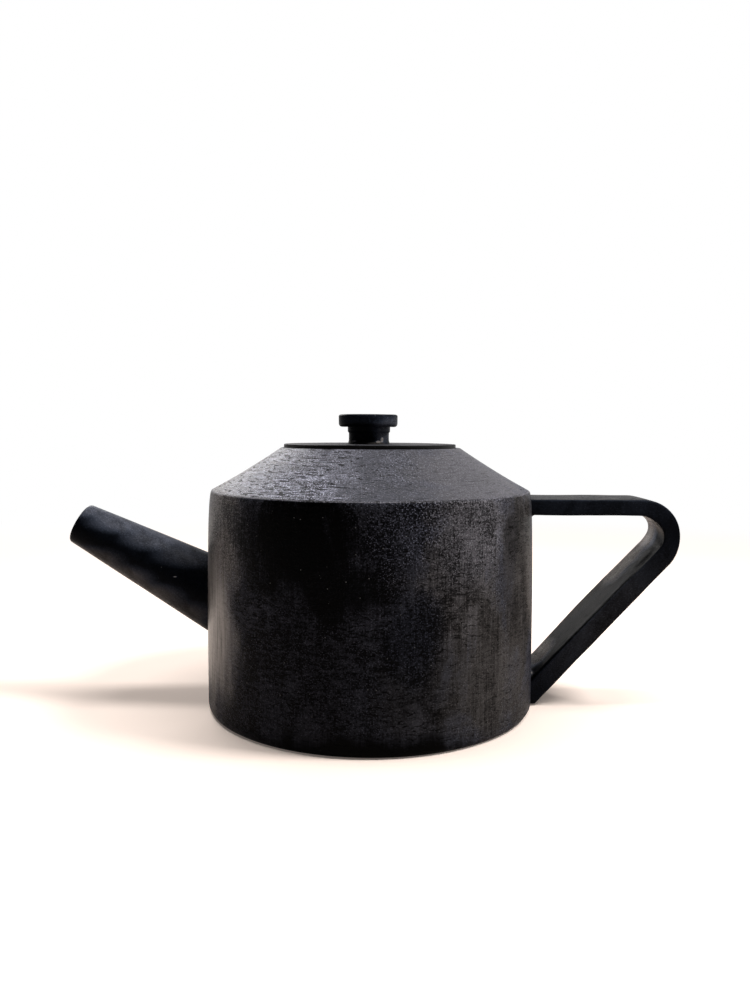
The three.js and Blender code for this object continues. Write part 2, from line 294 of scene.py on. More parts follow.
def softSpotGroup():
    # A patch at one place on the pot: Size is half of what it covers, and Edge frays it
    group, given, out = startGroup("softSpot", {"Vector": None, "Place": None, "Size": None, "Edge": 0.0},
                                   ["Mask"])
    away = addNode(group, "VectorMath", {0: given["Vector"], 1: given["Place"]}, operation="SUBTRACT")
    scaled = addNode(group, "VectorMath", {0: away.outputs[0], 1: given["Size"]}, operation="DIVIDE")
    reach = addNode(group, "VectorMath", {0: scaled.outputs[0]}, operation="LENGTH").outputs["Value"]
    group.links.new(ramp(group, addUp(group, reach, given["Edge"]), 1.4, 0.6), out["Mask"])
    return group


def place(tree, group, sockets=None):
    node = tree.nodes.new("ShaderNodeGroup")
    node.node_tree = group
    setSockets(tree, node, sockets)
    return node.outputs


# Materials

def startMaterial(name):
    material = bpy.data.materials.new(name)
    material.use_nodes = True
    material.node_tree.nodes.clear()
    return material, material.node_tree


def endMaterial(tree, colour, roughness, height, finish, coat=0.0):
    bump = addNode(tree, "Bump", {"Height": height, "Distance": mm, "Strength": 1.0})
    surface = addNode(tree, "BsdfPrincipled", {
        "Base Color": colour, "Roughness": roughness, "Normal": bump.outputs["Normal"],
        "Specular IOR Level": finish["specular"],
        "Coat Weight": coat, "Coat Roughness": finish["coatRoughness"],
    })
    addNode(tree, "OutputMaterial", {"Surface": surface.outputs[0]})


def characterOf(tree, look, here, edge):
    # What the clay is like from place to place, with painted light and shade where spots carry it: the look's
    # own values, and the spots' where they lie
    first = (look["shade"], look["dots"], look["dashes"])
    second = (look["streaks"], look["warmth"], look["burnish"])
    for spot in look["spots"]:
        spot = dict(look, **spot)
        fray = times(tree, edge, spot["fray"])
        mask = place(tree, groups["softSpot"], {
            "Vector": here, "Place": Vector(spot["place"]) * mm,
            "Size": Vector(spot["size"]) * mm, "Edge": fray,
        })["Mask"]
        firstHere = rgb(spot["shade"], spot["dots"], spot["dashes"])
        secondHere = rgb(spot["streaks"], spot["warmth"], spot["burnish"])
        first = mixColour(tree, mask, asColour(first), firstHere)
        second = mixColour(tree, mask, asColour(second), secondHere)
    first = addNode(tree, "SeparateColor", {"Color": asColour(first)}).outputs
    second = addNode(tree, "SeparateColor", {"Color": asColour(second)}).outputs
    return first["Red"], first["Green"], first["Blue"], second["Red"], second["Green"], second["Blue"]


def asColour(value):
    return rgb(*value) if isinstance(value, tuple) else value


def makeClay(name, look):
    material, tree = startMaterial(name)
    here = addNode(tree, "TexCoord").outputs["Object"]

    def space(around, across):
        return place(tree, groups["turnedSpace"], {"Around": around, "Across": across})["Vector"]

    cloud = place(tree, groups["clayCloud"], {"Vector": space(*look["cloudSize"]),
                                              "Contrast": look["cloudContrast"]})["Tone"]
    grain = place(tree, groups["clayGrain"], {"Vector": here, "Scale": look["grainScale"],
                                              "Pale": look["pale"]})
    marks = place(tree, groups["dragMarks"], {"Vector": space(*look["dashSize"]), "Share": look["dashShare"]})
    streak = addNode(tree, "TexNoise", {"Vector": space(*look["streakSize"]), "Scale": 1.0, "Detail": 3.0,
                                        "Roughness": 0.6}).outputs["Fac"]
    streak = calc(tree, "SUBTRACT", streak, 0.5)
    line = addNode(tree, "TexNoise", {"Vector": space(*look["lineSize"]), "Scale": 1.0,
                                      "Detail": 3.0}).outputs["Fac"]
    line = calc(tree, "SUBTRACT", line, 0.5)
    edge = addUp(tree, cloud, times(tree, marks["Tone"], look["dashFray"]), streak)
    shade, dots, dashes, streaks, warmth, burnish = characterOf(tree, look, here, edge)
    variation = addUp(
        tree, 1.0,
        times(tree, cloud, look["cloudDepth"]),
        times(tree, grain["Dots"], dots, look["dotContrast"]),
        times(tree, marks["Tone"], dashes, look["dashContrast"]),
        # the torn marks darkened: painted shade in their hollows
        times(tree, marks["Mask"], dashes, -look["dashDarkness"]),
        times(tree, streak, streaks, look["streakContrast"]),
        times(tree, line, look["lineContrast"]),
    )
    tone = times(tree, shade, calc(tree, "MAXIMUM", variation, look["darkest"]))
    tint = mixColour(tree, warmth, look["cool"], look["warm"])
    colour = addNode(tree, "VectorMath", {0: tint, "Scale": tone}, operation="SCALE").outputs[0]
    colour = mixColour(tree, times(tree, grain["Speck"], dots), colour, look["speck"])
    roughness = addUp(tree, look["roughness"], times(tree, cloud, look["roughnessRange"]),
                      times(tree, streak, look["streakRoughness"]),
                      times(tree, marks["Mask"], look["dashRoughness"]))
    height = addUp(
        tree,
        times(tree, grain["Height"], dots, look["grainHeight"]),
        times(tree, marks["Mask"], dashes, -look["dashDepth"]),
        times(tree, streak, streaks, look["streakHeight"]),
        times(tree, line, look["lineHeight"]),
    )
    shine = 0.0
    if any("burnish" in spot for spot in look["spots"]):
        streaky = calc(tree, "ADD", 1.0, times(tree, streak, look["burnishStreaks"]))
        shine = calc(tree, "MULTIPLY", burnish, streaky, clamp=True)
    endMaterial(tree, colour, roughness, height, look, shine)
    return material


# A look gives the clay's shade, how strong its sand, torn marks and streaks are, how warm and how
# burnished it is, and then each pattern: sizes as (round the pot, across) per m, heights in mm.
# The spots, in mm, say what the clay is like in one place, and some are painted light and shade; a later one
# covers those before it.

def spotAt(place, size, shade, **character):
    # Size is half of what the spot covers; what it doesn't name is as in the look
    return dict(character, place=place, size=size, shade=shade)


trimmedLook = {
    "shade": 0.038, "dots": 0.7, "dashes": 0.5, "streaks": 0.4, "warmth": 0.2, "burnish": 0.0,
    "fray": 0.6, "dashFray": 0.25, "darkest": 0.08,
    "cool": rgb(0.92, 0.98, 1.33), "warm": rgb(1.1, 1.0, 0.94),
    "speck": rgb(0.3, 0.3, 0.3), "pale": 0.0025,
    "cloudSize": (70.0, 32.0), "cloudContrast": 3.5, "cloudDepth": 0.9,
    "grainScale": 1900.0, "dotContrast": 2.1, "grainHeight": 0.12,
    "dashSize": (190.0, 700.0), "dashShare": 0.35, "dashContrast": 1.2, "dashDarkness": 1.2,
    "dashDepth": 0.25, "dashRoughness": 0.12,
    "streakSize": (1300.0, 45.0), "streakContrast": 2.4, "streakHeight": 0.06, "streakRoughness": 0.15,
    "lineSize": (14.0, 700.0), "lineContrast": 0.5, "lineHeight": 0.06,
    "roughness": 0.4, "roughnessRange": 0.08, "specular": 0.02,
    "coatRoughness": 0.45, "burnishStreaks": 3.0,
    "spots": (
        spotAt((-20, -68, 44), (34, 30, 26), 0.034, dots=0.8, dashes=1.0),
        # upper left: grey streaky clay, paler partly as a painted reflection
        spotAt((-64, -32, 78), (18, 30, 32), 0.185, dots=0.5, dashes=0.3, streaks=0.8, warmth=0.9,
               burnish=0.3),
        # painted shade: the front wall left of the middle kept near black, in two spots
        spotAt((-27, -66, 78), (24, 25, 24), 0.0008, dots=0.9, dashes=0.2),
        spotAt((-8, -72, 62), (16, 25, 10), 0.005, dots=0.9, dashes=0.5),
        # lower left: burnished clay, its pale warm colour partly a painted reflection of the floor
        spotAt((-66, -32, 40), (15, 30, 28), 0.12, dots=0.1, dashes=0.2, streaks=1.2, warmth=1.0,
               burnish=1.0, fray=0.25),
        spotAt((-45, -57, 51), (14, 25, 8), 0.04, dashes=1.3),
        spotAt((30, -65, 84), (27, 35, 17), 0.056, dots=1.25, dashes=0.3, warmth=0.1),
        spotAt((34, -63, 58), (20, 30, 26), 0.095, dots=0.35, dashes=0.6, streaks=0.7, warmth=0.75),
        spotAt((24, -67, 20), (20, 30, 22), 0.046, dots=0.35, dashes=0.6, warmth=0.5),
        spotAt((41, -60, 84), (17, 30, 18), 0.14, dots=0.5, dashes=0.4, streaks=0.6, warmth=0.6),
        spotAt((15, -70, 46), (9, 25, 15), 0.023, dots=0.8, warmth=0.0),
        spotAt((46, -56, 26), (18, 35, 28), 0.06, dots=0.3, dashes=0.4, streaks=0.8, warmth=0.9),
        # far right edge: warm streaky clay, its warmth partly a painted reflection of the floor
        spotAt((62, -34, 60), (9, 30, 44), 0.05, dots=0.3, streaks=1.0, warmth=0.9),
        # painted shadow of the handle: a dark band down the right of the wall
        spotAt((54, -48, 74), (4, 20, 24), 0.04, dots=0.3, warmth=0.7, fray=0.8),
        # foot: painted shade along the bottom edge, where the pot meets the floor
        spotAt((-5, -72, 0), (48, 30, 8), 0.0005, dots=0.1, fray=0.4),
        # arris: a painted highlight line along the edge
        spotAt((0, 0, 94.9), (200, 200, 0.28), 0.1, dots=0.5, dashes=0.0, warmth=0.5),
    ),
}
shoulderLook = dict(
    trimmedLook, shade=0.064, dots=0.38, dashes=0.3, streaks=0.1, warmth=0.25,
    grainHeight=0.15, pale=0.012, cloudDepth=0.2,
    dashSize=(105.0, 400.0), dashDarkness=1.25, dashContrast=0.6,
    lineContrast=0.15, lineHeight=0.03, roughness=0.52, specular=0.1,
    spots=(
        # the left of the shoulder paler, partly a painted highlight, with its own torn marks
        spotAt((-62, -20, 100), (14, 40, 14), 0.11, dots=0.4, dashes=0.5, warmth=0.7),
        spotAt((-35, -45, 102), (27, 40, 16), 0.178, dots=0.48, dashes=1.15, warmth=0.3),
        spotAt((-27, -52, 98), (16, 30, 7), 0.2, dots=0.7, dashes=1.7),
        spotAt((11, -49, 106), (9, 20, 6), 0.082, dots=0.65),
        spotAt((44, -38, 102), (24, 40, 16), 0.093, dots=0.28, dashes=0.15, warmth=0.5),
    ))
lidLook = dict(
    shoulderLook, shade=0.045, dots=0.4, dashes=0.1,
    spots=(
        # rim: painted shade on the lid's side face
        spotAt((0, 0, 113.9), (400, 400, 0.95), 0.0005, dots=0.1, fray=0.02),
    ))
insideLook = dict(trimmedLook, shade=0.028, roughness=0.6, spots=())


spoutAxis = {
    "start": 72, "height": 48.4,   # mm
    "climb": 0.527,                # mm up for each mm out
    "stations": (80, 94, 108, 122),
    "front": -3,
}


def alongSpout(up, size, shades, **character):
    # Spots in a row along the spout, this far above its axis, with the shade value of the colour at each
    spots = []
    for x, shade in zip(spoutAxis["stations"], shades):
        height = spoutAxis["height"] + (x - spoutAxis["start"]) * spoutAxis["climb"] + up
        spots.append(spotAt((-x, spoutAxis["front"], height), size, shade, **character))
    return spots


smoothedLook = dict(
    trimmedLook, shade=0.004, dots=0.25, dashes=0.0, streaks=0.2, warmth=0.0, cool=rgb(0.8, 1.0, 1.5),
    cloudSize=(110.0, 60.0), cloudContrast=2.5, streakSize=(260.0, 160.0), streakContrast=1.5,
    lineContrast=0.2, lineHeight=0.02, roughness=0.36, pale=0.001,
    spots=(
        # painted highlight along the top of the spout
        *alongSpout(13, (15, 14, 5), (0.045, 0.055, 0.068, 0.08), dots=0.2, warmth=0.4, fray=0.2),
        # painted light from the floor along its underside
        *alongSpout(-11.5, (15, 16, 6), (0.1, 0.14, 0.14, 0.11), dots=0.15, warmth=0.9, fray=0.15),
        # a pale fleck on the spout
        spotAt((-84.6, -14, 57.2), (0.9, 1.5, 0.32), 0.25, warmth=1.0),
        # the knob: edge of its cap, stem, foot of the stem, and pale flecks on it
        spotAt((0, -12, 125.5), (16, 12, 2), 0.02),
        spotAt((8, -9, 121), (7, 8, 5), 0.07, warmth=0.4),
        spotAt((0, -9, 115.2), (9, 3, 0.5), 0.06, warmth=1.0),
        spotAt((-7.2, -6.1, 116.1), (1.1, 1.6, 0.42), 0.5, warmth=1.0),
        spotAt((5.0, -7.4, 116.8), (0.5, 1.4, 0.9), 0.4, warmth=1.0),
        spotAt((3.5, -8.2, 115.9), (1.2, 1.4, 0.35), 0.4, warmth=1.0),
        # the strap's inner face, painted light and shade: paler at the back, painted highlights in the bend
        # and at the root, painted shade below the bend
        spotAt((100, 15, 45), (70, 13, 70), 0.016, warmth=0.9, fray=0.4),
        spotAt((95, -4, 37), (20, 6, 22), 0.006, warmth=0.7, fray=0.4),
        spotAt((121.5, 8, 74.5), (9, 11, 7), 0.42, warmth=1.0, fray=0.2),
        spotAt((117, 8, 66.5), (8, 9, 8), 0.17, warmth=1.0, fray=0.3),
        spotAt((110, 8, 60), (9, 9, 9), 0.17, warmth=1.0, fray=0.4),
        spotAt((75, 5, 22), (8, 10, 8), 0.36, warmth=1.0, fray=0.4),
        spotAt((120.5, -10.5, 65), (9, 5, 10), 0.002, fray=0.3),
        # a painted highlight on the ridge above the scored line, the front face, painted shade in the scored
        # line, and a pale fleck at the root
        spotAt((90, -9.5, 30), (35, 1.6, 38), 0.012, warmth=0.8, fray=0.2),
        spotAt((104, -14, 38), (60, 1.6, 42), 0.044, warmth=0.6, fray=0.1),
        spotAt((104, -14, 92), (60, 1.6, 14), 0.023, warmth=0.1, fray=0.1),
        spotAt((102, -11.0, 34), (70, 0.9, 56), 0.0003, fray=0.0),
        spotAt((71.8, -10.5, 15), (1.2, 2.5, 1.5), 0.3, warmth=1.0),
    ))


# Making pieces

def curve(start, pull, end, steps):
    a, b, c = Vector(start), Vector(pull), Vector(end)
    shares = [i / steps for i in range(steps + 1)]
    return [tuple(a * (1 - t) ** 2 + b * 2 * t * (1 - t) + c * t * t) for t in shares]


def drawOutline(bm, corners, longest, closed=True):
    # Corners are (radius, height) in mm, with a third number where the corner is rounded
    verts = [bm.verts.new((corner[0] * mm, 0, corner[1] * mm)) for corner in corners]
    ends = verts[1:] + verts[:1] if closed else verts[1:]
    for start, end in zip(verts, ends):
        bm.edges.new((start, end))
    for vert, corner in zip(verts, corners):
        if len(corner) == 3:
            bmesh.ops.bevel(bm, geom=[vert], offset=corner[2] * mm, offset_type="OFFSET", segments=4,
                            profile=0.5, material=-1, affect="VERTICES")
    for edge in bm.edges[:]:
        cuts = int(edge.calc_length() / (longest * mm))
        if cuts:
            bmesh.ops.subdivide_edges(bm, edges=[edge], cuts=cuts)


def turn(bm, steps):
    bmesh.ops.spin(bm, geom=bm.verts[:] + bm.edges[:], cent=(0, 0, 0), axis=(0, 0, 1),
                   angle=math.tau, steps=steps, use_merge=True)
    bmesh.ops.remove_doubles(bm, verts=bm.verts[:], dist=0.001 * mm)
    bmesh.ops.recalc_face_normals(bm, faces=bm.faces[:])


def turned(corners, longest, steps, closed=True):
    bm = bmesh.new()
    drawOutline(bm, corners, longest, closed)
    turn(bm, steps)
    return bm


def slack(point, size, seed):
    # A slow wander from 0 to 1, the same each run
    shifted = Vector(point) / (size * mm) + Vector((seed, seed, seed))
    return 0.5 + 0.5 * max(-1, min(1, 1.6 * noise.noise(shifted)))


def closeHoles(bm):
    edges = [edge for edge in bm.edges if edge.is_boundary]
    bmesh.ops.holes_fill(bm, edges=edges, sides=0)
    bmesh.ops.recalc_face_normals(bm, faces=bm.faces[:])


def cutFlat(bm, point, outward):
    # Takes off all that is past a plane and closes the cut
    bmesh.ops.bisect_plane(bm, geom=bm.verts[:] + bm.edges[:] + bm.faces[:], dist=0.0001 * mm,
                           plane_co=Vector(point) * mm, plane_no=outward, clear_outer=True)
    closeHoles(bm)


def makeObject(name, bm):
    mesh = bpy.data.meshes.new(name)
    bm.to_mesh(mesh)
    bm.free()
    piece = bpy.data.objects.new(name, mesh)
    scene.collection.objects.link(piece)
    return piece


def drill(piece, cutter):
    modifier = piece.modifiers.new("holes", "BOOLEAN")
    modifier.operation = "DIFFERENCE"
    modifier.solver = "EXACT"
    modifier.object = cutter
    graph = bpy.context.evaluated_depsgraph_get()
    cut = bpy.data.meshes.new_from_object(piece.evaluated_get(graph))
    piece.modifiers.clear()
    piece.data = cut
    bpy.data.objects.remove(cutter)


def finishPiece(piece, material, body, slot, *nodes, sharpest=30):
    piece.data.materials.clear()
    piece.data.materials.append(material)
    piece.data.shade_smooth()
    piece.data.set_sharp_from_angle(angle=math.radians(sharpest))
    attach(piece, body)
    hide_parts(*nodes)
    print("made", piece.name, len(piece.data.polygons), "faces")


# Wall and foot

wall = {
    "arris": (70.0, 94.7),
    "belly": (72.25, 90.0),        # what the outline is pulled towards on its way up to the arris
    "thickness": 5.0,
    "footRounding": 2.4,
    "arrisRounding": 0.45,
    "lap": 0.9,                    # how far the wall's clay is wiped over the edge on to the shoulder
    "innerRounding": 0.5,
    "innerTopDrop": 3.0,           # the wall's inside turns straight this far under the joint
    "innerLean": 0.6,
    "unevenness": 0.3,
    "unevenSize": 34,
    "unevenFade": 14,              # mm under the rim, where the unevenness dies out
    "steps": 300,
    "wallStep": 1.9,
}
shoulder = {
    "hollow": 0.45,
    "thickness": 5.0,
    "rimRounding": 0.35,
    "mouthRadius": 38.5,
    "rimWidth": 1.0,
    "step": 1.8,
}
strainer = {"height": 48.4, "hole": 4.5, "ring": 7.85, "count": 6, "sides": 28, "drillLength": 30}


def unevenWall(bm, rimHeight):
    # The same wander for wall and shoulder, so that they stay flush, dying out at the rim
    for vert in bm.verts:
        fade = max(0, min(1, (rimHeight - vert.co.z / mm) / wall["unevenFade"]))
        inward = Vector((-vert.co.x, -vert.co.y, 0)).normalized()
        depth = wall["unevenness"] * slack(vert.co, wall["unevenSize"], 3.1)
        vert.co += inward * depth * fade * mm


def potOutline():
    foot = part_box("body_wall")[1].x / mm
    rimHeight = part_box("shoulder")[1].z / mm
    rim = Vector((shoulder["mouthRadius"] + shoulder["rimWidth"], rimHeight))
    arris = Vector(wall["arris"])
    slope = (rim - arris).normalized()
    inward = Vector((-slope.y, slope.x))
    joint = arris + slope * wall["lap"]
    jointInside = joint + inward * shoulder["thickness"]
    return foot, rimHeight, rim, arris, slope, inward, joint, jointInside


def makeWall():
    foot, rimHeight, rim, arris, slope, inward, joint, jointInside = potOutline()
    outside = curve((foot, 0), wall["belly"], arris, 24)[1:-1]
    innerFoot = foot - wall["thickness"]
    corners = [(innerFoot, 0, wall["innerRounding"]), (foot, 0, wall["footRounding"])]
    corners += [corner for corner in outside if corner[1] > 2 * wall["footRounding"]]
    corners += [(arris.x, arris.y, wall["arrisRounding"]), tuple(joint), tuple(jointInside)]
    corners += [(innerFoot - wall["innerLean"], jointInside.y - wall["innerTopDrop"])]
    bm = turned(corners, wall["wallStep"], wall["steps"])
    unevenWall(bm, rimHeight)
    piece = makeObject("wall", bm)
    drill(piece, makeStrainerDrills())
    finishPiece(piece, clays["trimmed"], "pot", "trimmed_clay", "body_wall")


def makeStrainerDrills():
    bm = bmesh.new()
    lie = Matrix.Rotation(math.radians(90), 4, "Y")
    radius = strainer["hole"] / 2 * mm
    spots = [(0, 0)]
    for i in range(strainer["count"]):
        angle = math.tau * i / strainer["count"]
        spots.append((math.cos(angle) * strainer["ring"], math.sin(angle) * strainer["ring"]))
    for across, up in spots:
        middle = Vector((-wall["arris"][0], across, strainer["height"] + up)) * mm
        bmesh.ops.create_cone(bm, cap_ends=True, segments=strainer["sides"], radius1=radius,
                              radius2=radius, depth=strainer["drillLength"] * mm,
                              matrix=Matrix.Translation(middle) @ lie)
    return makeObject("strainerDrills", bm)


def makeShoulder():
    foot, rimHeight, rim, arris, slope, inward, joint, jointInside = potOutline()
    middle = (joint + rim) / 2 + inward * shoulder["hollow"] * 2
    face = curve(joint, middle, rim, 20)
    mouthFoot = rim + inward * shoulder["thickness"]
    mouthFoot += slope * (mouthFoot.x - shoulder["mouthRadius"]) / -slope.x
    corners = [tuple(jointInside)] + face[:-1]
    corners += [(rim.x, rim.y, shoulder["rimRounding"])]
    corners += [(shoulder["mouthRadius"], rimHeight, shoulder["rimRounding"])]
    corners += [(shoulder["mouthRadius"], mouthFoot.y)]
    bm = turned(corners, shoulder["step"], wall["steps"])
    unevenWall(bm, rimHeight)
    piece = makeObject("shoulderCone", bm)
    finishPiece(piece, clays["shoulder"], "pot", "shoulder_clay", "shoulder")


# Inside: the slab, the coils pressed into its seams, and the seat under the lid

inside = {
    "seam": 0.25,                  # mm that a piece reaches over the seam round its CAD node
    "slabRounding": 0.4,
    "slabHollow": 0.35,
    "slabSize": 12,
    "coilLeg": 5.0,
    "coilHollow": 0.6,
    "coilLean": 0.2,               # the wall leans this much along the upper coil
    "thumbSize": 16,
    "thumbDepth": 0.7,
    "thumbReach": 2.5,             # mm from the corner, where a thumb presses fully
    "seatWidth": 5.4,
    "seatRounding": 0.6,
    "step": 3,
    "steps": 180,
}


def makeSlab():
    low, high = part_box("base_slab")
    radius = high.x / mm + inside["seam"]
    top = high.z / mm
    corners = [(0, 0), (radius, 0, inside["slabRounding"]), (radius, top), (0, top)]
    bm = turned(corners, inside["step"], inside["steps"], closed=False)
    for vert in bm.verts:
        if vert.co.z > top * mm / 2:
            vert.co.z -= inside["slabHollow"] * mm * slack(vert.co, inside["slabSize"], 7.7)
    finishPiece(makeObject("footSlab", bm), clays["inside"], "pot", "inside_clay", "base_slab")


def makeCoil(name, node, start, corner, end):
    # A roll of clay thumbed into a seam, which leaves it hollow and a little uneven
    pull = ((Vector(start) + Vector(end)) / 2).lerp(Vector(corner), inside["coilHollow"])
    corners = [tuple(corner)] + curve(start, pull, end, 8)
    bm = turned(corners, inside["step"], inside["steps"])
    middle = Vector(corner)
    for vert in bm.verts:
        radius = math.hypot(vert.co.x, vert.co.y) / mm
        away = Vector((radius, vert.co.z / mm)) - middle
        press = inside["thumbDepth"] * slack(vert.co, inside["thumbSize"], 11.3)
        press *= min(1, away.length / inside["thumbReach"])
        moved = Vector((radius, vert.co.z / mm)) - away.normalized() * min(press, away.length * 0.5)
        vert.co = Vector((vert.co.x * moved.x / radius, vert.co.y * moved.x / radius, moved.y * mm))
    finishPiece(makeObject(name, bm), clays["inside"], "pot", "inside_clay", node, sharpest=50)


def makeInside():
    makeSlab()
    low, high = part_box("base_seam_coil")
    corner = (high.x / mm + inside["seam"], low.z / mm - inside["seam"])
    leg = inside["coilLeg"]
    makeCoil("footCoil", "base_seam_coil", (corner[0], corner[1] + leg), corner, (corner[0] - leg, corner[1]))
    jointInside = potOutline()[-1]
    slope = potOutline()[4]
    top = jointInside + slope * leg
    makeCoil("arrisCoil", "shoulder_seam_coil", tuple(top), tuple(jointInside),
             (jointInside.x - inside["coilLean"], jointInside.y - leg))
    low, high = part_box("lid_seat")
    outer = high.x / mm + inside["seam"]
    inner = outer - inside["seatWidth"]
    under, top, rounding = low.z / mm, high.z / mm, inside["seatRounding"]
    corners = [(inner, under, rounding), (outer, under), (outer, top), (inner, top, rounding)]
    bm = turned(corners, inside["step"], inside["steps"])
    finishPiece(makeObject("lidSeatRing", bm), clays["inside"], "pot", "inside_clay", "lid_seat")


# Spout

spout = {
    "rise": 27.8,                  # degrees
    "rootHeight": 48.4,
    "rootRadius": 71.8,            # where the axis meets the wall
    "reach": 58.0,
    "rootDiameter": 31.3,
    "tipDiameter": 18.5,
    "rootWall": 3.7,
    "tipWall": 3.1,
    "lipRounding": 1.1,
    "boreRounding": 0.8,
    "cut": 69.4,                   # its root is sunk into the wall as far as this from the axis
    "unevenness": 0.1,
    "unevenSize": 18,
    "steps": 128,
    "step": 1.5,
}


def makeSpout():
    length = spout["reach"] / math.cos(math.radians(spout["rise"]))
    before = spout["rootDiameter"] / 2
    wider = (spout["rootDiameter"] - spout["tipDiameter"]) / 2 / length * before
    boreRoot = spout["rootDiameter"] / 2 - spout["rootWall"]
    boreTip = spout["tipDiameter"] / 2 - spout["tipWall"]
    boreWider = (boreRoot - boreTip) / length * before
    corners = [
        (boreRoot + boreWider, -before),
        (spout["rootDiameter"] / 2 + wider, -before),
        (spout["tipDiameter"] / 2, length, spout["lipRounding"]),
        (boreTip, length, spout["boreRounding"]),
    ]
    bm = turned(corners, spout["step"], spout["steps"])
    for vert in bm.verts:
        inward = Vector((-vert.co.x, -vert.co.y, 0)).normalized()
        vert.co += inward * spout["unevenness"] * slack(vert.co, spout["unevenSize"], 5.9) * mm
    lean = Matrix.Rotation(math.radians(spout["rise"] - 90), 4, "Y")
    root = Matrix.Translation(Vector((-spout["rootRadius"], 0, spout["rootHeight"])) * mm)
    bmesh.ops.transform(bm, matrix=root @ lean, verts=bm.verts[:])
    cutOpen = bmesh.ops.bisect_plane(bm, geom=bm.verts[:] + bm.edges[:] + bm.faces[:], dist=0.0001 * mm,
                                     plane_co=(-spout["cut"] * mm, 0, 0), plane_no=(1, 0, 0),
                                     clear_outer=True)
    rings = [edge for edge in cutOpen["geom_cut"] if isinstance(edge, bmesh.types.BMEdge)]
    bmesh.ops.bridge_loops(bm, edges=rings)
    bmesh.ops.recalc_face_normals(bm, faces=bm.faces[:])
    finishPiece(makeObject("spoutTube", bm), clays["smoothed"], "pot", "smoothed_clay", "spout")


# Handle

strap = {
    "width": 26.0,
    "thickness": 7.3,
    "edgeRounding": 0.8,
    "bendCentre": (118.4, 75.1),
    "bendRadius": 16.5,            # of the outer face
    "bendTurn": 132.7,             # degrees
    "cut": 69.0,                   # both roots are sunk into the wall as far as this from the axis
    "rootLift": 0.8,
    "overrun": 1,                  # mm that the level leg starts inside its cut
    "footOverrun": 14,             # and that the leaning leg runs on past the floor
    "topReach": 80,                # degrees round the bend, where the top's slope dies out
    "legOut": 0.69,                # the leaning leg is this much thicker outside
    "legIn": 0.53,                 # and inside
    "innerSwell": 0.8,             # the inside of the bend is full in front
    "swellAt": 35,                 # degrees round the bend
    "innerHollow": 1.8,            # and hollow at the back
    "hollowAt": 72,
    "bendReach": 50,
    "innerRidge": 0.6,             # halfway down, the leaning leg is full at the back
    "ridgeAt": 35,                 # mm from the bend
    "ridgeReach": 34,
    "topFall": 0.2,                # the top slopes down to its front edge
    "scoreDepth": 0.6,             # a line scored into the leaning leg's inner face
    "scorePlace": 1.85,            # mm from its front
    "scoreWidth": 1.0,
    "scoopDepth": 1.2,             # and a scoop beside the line, just below the bend
    "scoopPlace": 4.0,
    "scoopWidth": 4.0,
    "scoopAt": 5,                  # mm from the bend
    "scoopReach": 13,
    "scrapeDepth": 0.15,
    "scrapeSize": 15,
    "waveDepth": 0.12,
    "waveSize": 9,
    "step": 1.1,
}


def drawSection(bm):
    # Rounded oblong across the start of the level leg
    half = strap["width"] / 2 * mm
    top = (strap["bendCentre"][1] + strap["bendRadius"]) * mm
    under = top - strap["thickness"] * mm
    start = (strap["cut"] - strap["overrun"]) * mm
    corners = ((-half, under), (half, under), (half, top), (-half, top))
    verts = [bm.verts.new((start, y, z)) for y, z in corners]
    for first, second in zip(verts, verts[1:] + verts[:1]):
        bm.edges.new((first, second))
    for vert in verts:
        bmesh.ops.bevel(bm, geom=[vert], offset=strap["edgeRounding"] * mm, offset_type="OFFSET", segments=4,
                        profile=0.5, material=-1, affect="VERTICES")
    for edge in bm.edges[:]:
        cuts = int(edge.calc_length() / (strap["step"] * mm))
        if cuts:
            bmesh.ops.subdivide_edges(bm, edges=[edge], cuts=cuts)
    return bm.verts[:] + bm.edges[:]


def pullLeg(bm, ring, direction, length):
    steps = int(length / strap["step"])
    move = Vector(direction) * (length / steps * mm)
    return bmesh.ops.spin(bm, geom=ring, cent=(0, 0, 0), axis=(0, 1, 0), dvec=move, angle=0,
                          steps=steps)["geom_last"]


def hump(value, middle, reach):
    return 0.5 + 0.5 * math.cos(math.pi * min(1, abs(value - middle) / reach))


